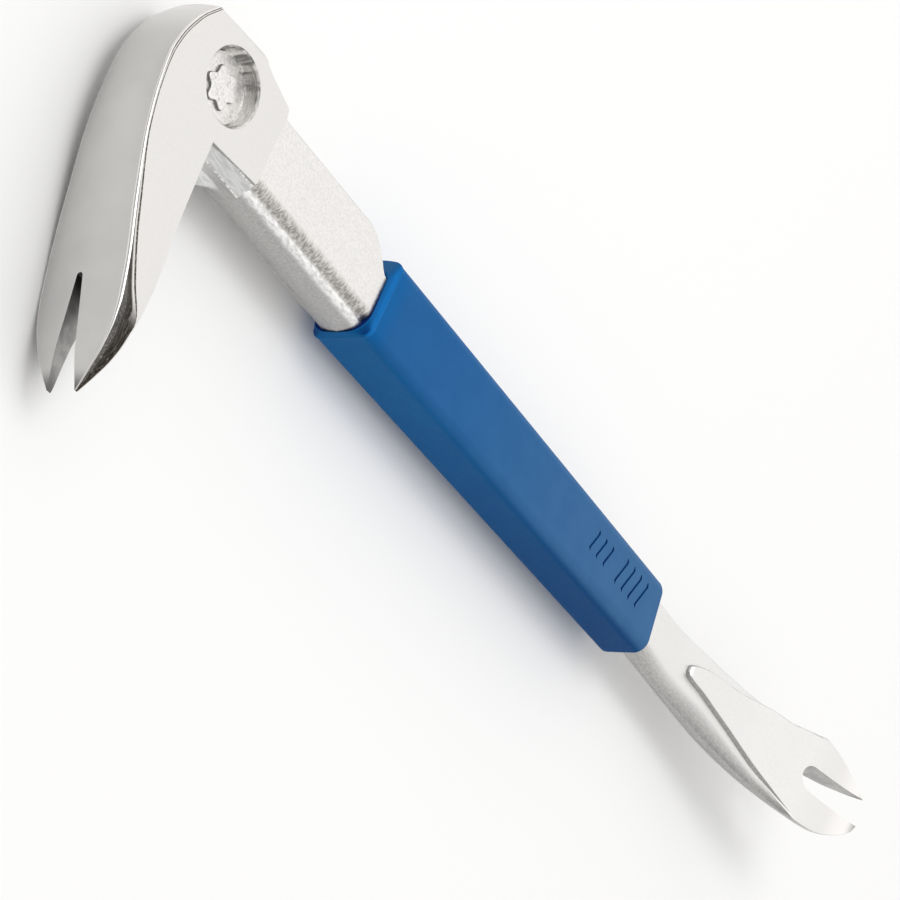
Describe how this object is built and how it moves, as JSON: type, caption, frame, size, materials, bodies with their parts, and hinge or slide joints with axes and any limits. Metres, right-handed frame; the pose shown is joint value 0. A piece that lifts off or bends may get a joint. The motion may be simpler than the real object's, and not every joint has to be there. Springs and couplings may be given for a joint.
{
  "type": "pry bar",
  "caption": "Forged steel nail-pulling pry bar: curved slotted claw head with round cheek recesses, ribbed shank, flat straight claw and a moulded cushion sleeve.",
  "frame": {"origin": "middle of the bottom of the bounding box, on the surface that the head claw's side and the sleeve's side face", "axes": "+X along the bar from the head to the straight claw; -Y the way the tips of the head claw point; +Z across the head's thickness, the way the straight claw curves"},
  "size_m": [0.3054, 0.0926, 0.0307],
  "materials": {
    "steel": "bright satin plating over forged and ground steel",
    "grip": "matt blue moulded cushion sleeve with a fine grain"
  },
  "bodies": {
    "root": {"steel_bar": "steel", "cushion_grip": "grip"}
  },
  "joints": []
}
